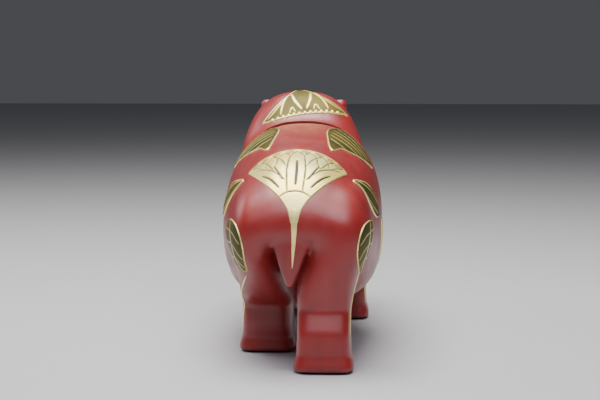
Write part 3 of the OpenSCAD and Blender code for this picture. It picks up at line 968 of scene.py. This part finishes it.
# Petals of the lotus on the neck, and the beads along its base.
NECK_STROKES = mirrored([
    ([(6.4, 1.6), (9.4, -3.2), (11.4, -9.4)], 1.1, 0.14, 0.62),
    ([(4.6, 2.6), (3.6, -3.4), (1.2, -8.8)], 1.3, 0.16, 0.72),
    ([(9.8, -2.6), (13.8, -6.4), (17.4, -9.2)], 0.9, 0.12, 0.5),
    ([(4.4, -9.6), (5.6, -7.0), (7.2, -9.8)], 0.7, 0.12, 0.6),
]) + [([(k * 2.6 - 0.5, -11.0), (k * 2.6 + 0.5, -11.0)], 1.2, 0.3, 1.0) for k in range(-6, 7)]
LEAF_STROKES = [
    ([(-8.0, 9.0), (-1.0, 3.0), (5.0, -2.6), (11.0, -4.6)], 0.6, 0.14, 0.7),
    ([(-9.6, 2.0), (-3.0, -3.6), (3.6, -8.0), (9.4, -9.4)], 0.6, 0.14, 0.75),
    ([(-10.2, -5.6), (-4.6, -9.6), (1.4, -13.0), (6.6, -14.6)], 0.6, 0.14, 0.85),
    ([(-9.8, -13.0), (-5.4, -16.8), (0.0, -19.4), (4.4, -20.2)], 0.6, 0.14, 0.9),
    ([(-9.0, -21.4), (-5.6, -24.4), (-1.4, -26.4)], 0.6, 0.14, 0.9),
    ([(-4.0, 15.0), (0.6, 9.4), (6.0, 3.4)], 0.5, 0.12, 0.5),
]
PAD_STROKES = [
    ([(-1.4, 10.6), (-2.6, 3.0), (-3.2, -4.0), (-4.0, -9.8)], 0.8, 0.16, 0.9),
    ([(-2.0, 6.6), (-6.4, 5.4), (-10.6, 2.0)], 0.5, 0.13, 0.7),
    ([(-2.6, 1.6), (-6.6, -0.4), (-9.6, -4.4)], 0.5, 0.13, 0.7),
    ([(-3.2, -3.6), (-5.4, -5.6), (-7.0, -8.2)], 0.5, 0.13, 0.7),
    ([(-2.0, 6.6), (2.4, 6.8), (6.8, 7.0)], 0.5, 0.13, 0.7),
    ([(-2.6, 1.6), (2.6, 1.4), (8.6, 1.0)], 0.5, 0.13, 0.7),
    ([(-3.2, -3.6), (0.6, -4.6), (4.6, -5.2)], 0.5, 0.13, 0.7),
]
BUD_STROKES = mirrored([
    ([(0.8, 21.0), (3.6, 10.0), (4.4, -2.0), (2.6, -14.0)], 0.6, 0.16, 0.9),
    ([(2.4, 17.0), (6.4, 6.0), (7.0, -4.0)], 0.5, 0.13, 0.7),
])


def neck_outline():
    """The open lotus on the crest of the neck, with its base towards the slot."""
    right = curve([(0.0, 14.0), (2.6, 7.0), (7.2, 1.2), (12.6, -3.2), (17.0, -6.6), (20.6, -10.4)])
    arc = curve([(20.6, -10.4), (15.6, -12.0), (9.6, -12.2), (0.0, -12.1)])
    return closed_half(np.vstack([right[:-1], arc[:-1]]), (0.0, -12.1))[:-1]


def leaf_outline():
    """The broad leaf that lies along each side of the back."""
    return curve([(-11.3, 6.0), (-7.4, 15.6), (-3.0, 16.4), (2.0, 10.8), (7.8, 4.6), (13.0, -3.6),
                  (13.2, -5.2), (8.0, -15.6), (2.0, -24.6), (-2.6, -28.6), (-5.4, -36.4),
                  (-8.0, -34.4), (-10.6, -20.0), (-11.8, -6.0)], closed=True)


def pad_outline():
    """The notched lily pad on each hip."""
    return curve([(8.8, 5.5), (4.4, 9.8), (-1.0, 11.2), (-7.5, 9.8), (-11.3, 5.0), (-11.6, -1.5),
                  (-8.5, -7.2), (-4.2, -10.5), (1.0, -8.0), (6.0, -5.0), (9.6, -0.5)], closed=True)


def bud_outline(size):
    """A slender bud, pointed at its upper end."""
    return curve([(0.0, 23.0), (4.6, 14.0), (7.8, 2.0), (7.0, -9.0), (3.0, -17.0), (0.0, -20.0),
                  (-3.0, -17.0), (-7.0, -9.0), (-7.8, 2.0), (-4.6, 14.0)], closed=True) * size


def scaled(strokes, size):
    """Strokes with their points moved to suit a larger or smaller outline."""
    return [([(a * size, b * size) for a, b in points], width, rise, tone)
            for points, width, rise, tone in strokes]


# The height that the flowers' and leaves' places were drawn for, and the stems' courses.
DRAWN_H = 110.6
STEMS = {
    "hip_stem_left": [(-20.4, -79, 38), (-23.8, -64, 30), (-25.4, -50, 21), (-25.8, -46, 8)],
    "hip_stem_right": [(26, -82.5, 39), (24.6, -82, 35), (23, -84, 28), (22.2, -87, 15)],
    "fore_stem_right": [(30, 18, 48), (30, 30, 36), (28, 36, 22), (28, 38, 8)],
    "fore_stem_left": [(-32, 22, 48), (-31, 40, 36), (-28, 52, 22), (-28, 54, 8)],
}


def make_reliefs(tree):
    """Every gilt flower, leaf and stem, as separate pieces."""
    z = BANK_H / DRAWN_H
    tail = [(0.1, at(0.02), 70), (0.1, at(0.01), 65), (0.0, at(0.005), 59),
            (-0.2, at(0.005), 53), (-0.8, at(0.01), 43)]
    pieces = [
        add_relief("rump_lotus", tree, ((0, at(0.068), 74 * z), (0, -0.72, 0.69), (0, 0, 1)),
                   lotus_outline(), 0.86, 0.45, LOTUS_STROKES),
        add_relief("neck_lotus", tree, ((-SWAY, at(0.676), 103.4 * z), (0, -0.55, 0.83), (-0.1, 0, 1)),
                   neck_outline(), 0.0, 0.8, NECK_STROKES),
        add_vine("tail_line", tree, tail, 3.6, 0.45, 0.28),
    ]
    for side, name in ((1, "right"), (-1, "left")):
        pad_at = (31, at(0.079), 50) if side > 0 else (27.6, at(0.07), 50.4)
        pieces += [
            add_relief("back_leaf_" + name, tree,
                       ((21, at(0.426), 88 * z), (0.45, -0.1, 0.89), (0, 1, 0)),
                       leaf_outline(), 0.0, 0.45, LEAF_STROKES, side),
            add_relief("hip_pad_" + name, tree, (pad_at, (0.8, -0.6, 0), (0, 0, 1)),
                       pad_outline(), 0.02, 0.4, PAD_STROKES, side),
            add_relief("flank_bud_" + name, tree,
                       ((30.5, at(0.235), 67.5 * z), (0.93, -0.12, 0.34), (-0.2, -0.82, 0.5)),
                       bud_outline(0.82), 0.0, 0.5, scaled(BUD_STROKES, 0.82), side),
            add_relief("shoulder_lotus_" + name, tree,
                       ((31 - side * SWAY, at(0.64), 62 * z), (1, 0, 0.1), (0, 0.2, 1)),
                       lotus_outline(0.72), 0.7, 0.4, scaled(LOTUS_STROKES, 0.72), side),
            add_relief("belly_leaf_" + name, tree,
                       ((35, at(0.47), 42), (1, 0, -0.15), (0, -0.75, 0.66)),
                       bud_outline(0.86), 0.0, 0.5, scaled(BUD_STROKES, 0.86), side),
            add_relief("cheek_bud_" + name, tree,
                       ((24 - side * SWAY, at(0.875), 78 * z), (1, 0.05, 0.2), (0, -0.8, 0.6)),
                       bud_outline(0.5), 0.0, 0.4, scaled(BUD_STROKES, 0.5), side),
        ]
    pieces += [add_vine(name, tree, points, 0.8, 0.3) for name, points in STEMS.items()]
    return pieces


def mark_inside(body, tree):
    """Faces well under the skin show the bare casting."""
    skin_deep = 1.1 * MM
    for face in body.data.polygons:
        _, _, _, gap = tree.find_nearest(face.center)
        face.material_index = 1 if gap > skin_deep else 0


def give(name, material):
    """Gives a CAD node its finish."""
    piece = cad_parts[name]
    piece.data.materials.clear()
    piece.data.materials.append(material)


def add_part(piece, slot, *materials):
    """Fixes a piece on the bank's body, with its finishes."""
    piece.data.materials.clear()
    for material in materials:
        piece.data.materials.append(material)
    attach(piece, "bank")


RED, RED_DEEP = (0.25, 0.012, 0.011), (0.16, 0.006, 0.007)


def make_casting():
    """The lacquered casting with its gilding."""
    lacquer = finished("red_lacquer", RED, RED_DEEP, (0.38, 0.06, 0.045), 0.34, dust=0.05, coat=0.4)
    raw_iron = finished("bare_casting", (0.05, 0.045, 0.042), (0.09, 0.05, 0.035),
                        (0.2, 0.19, 0.18), 0.6, 0.75, grain=500.0, bump=0.5)
    gilding = make_gilding()
    body = make_skin()
    tree = BVHTree.FromObject(body, bpy.context.evaluated_depsgraph_get())
    reliefs = make_reliefs(tree)
    cut_face(body, tree)
    cut_openings(body)
    mark_inside(body, tree)
    only(body)
    bpy.ops.object.shade_smooth_by_angle(angle=math.radians(40))
    add_part(body, "red_lacquered_iron", lacquer, raw_iron)
    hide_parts("body_casting")
    for relief in reliefs:
        add_part(relief, "gilding", gilding)


def make_eyes():
    """Dark enamel eyes, sunk in the sides of the brows."""
    enamel = finished("eye_enamel", (0.01, 0.009, 0.008), (0.02, 0.015, 0.01), (0.1, 0.1, 0.1),
                      0.12, coat=0.8, dust=0.0, bump=0.02)
    for side, name in ((1, "right"), (-1, "left")):
        place = (side * 0.505 * BANK_W / 2 - SWAY, at(0.838), 0.862 * BANK_H)
        eye = add_blob(place, (1.7, 2.4, 2.0), (0, 0, side * -28))
        eye.name = "eye_" + name
        bpy.ops.object.shade_smooth()
        add_part(eye, "eye_enamel", enamel)


def finish_fittings():
    """Finishes of the nodes that are shown as the CAD makes them."""
    plate_red = finished("plate_lacquer", RED, RED_DEEP, (0.3, 0.25, 0.22), 0.38, dust=0.03,
                         coat=0.3, wear=0.0)
    steel = finished("zinc_steel", (0.55, 0.55, 0.53), (0.40, 0.40, 0.39), (0.75, 0.75, 0.73),
                     0.3, 1.0, grain=1500.0, wear=0.1)
    brass = finished("brass", (0.72, 0.52, 0.2), (0.55, 0.36, 0.12), (0.88, 0.72, 0.4),
                     0.28, 1.0, grain=1500.0, wear=0.1)
    felt = finished("felt", (0.02, 0.02, 0.021), (0.035, 0.034, 0.033), (0.05, 0.05, 0.05),
                    0.95, grain=2600.0, bump=0.9)
    pads = [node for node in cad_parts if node.startswith("foot_pad")]
    steel_nodes = ("plate_screws", "trap_hinge_pin", "lock_plug", "lock_spring_washer",
                   "lock_cam", "cam_screw")
    for material, nodes in ((plate_red, ("belly_plate", "trap_door")), (steel, steel_nodes),
                            (brass, ("lock_housing", "lock_nut")), (felt, pads)):
        for node in nodes:
            give(node, material)


make_camera()
make_floor()
make_lighting()
make_casting()
make_eyes()
finish_fittings()
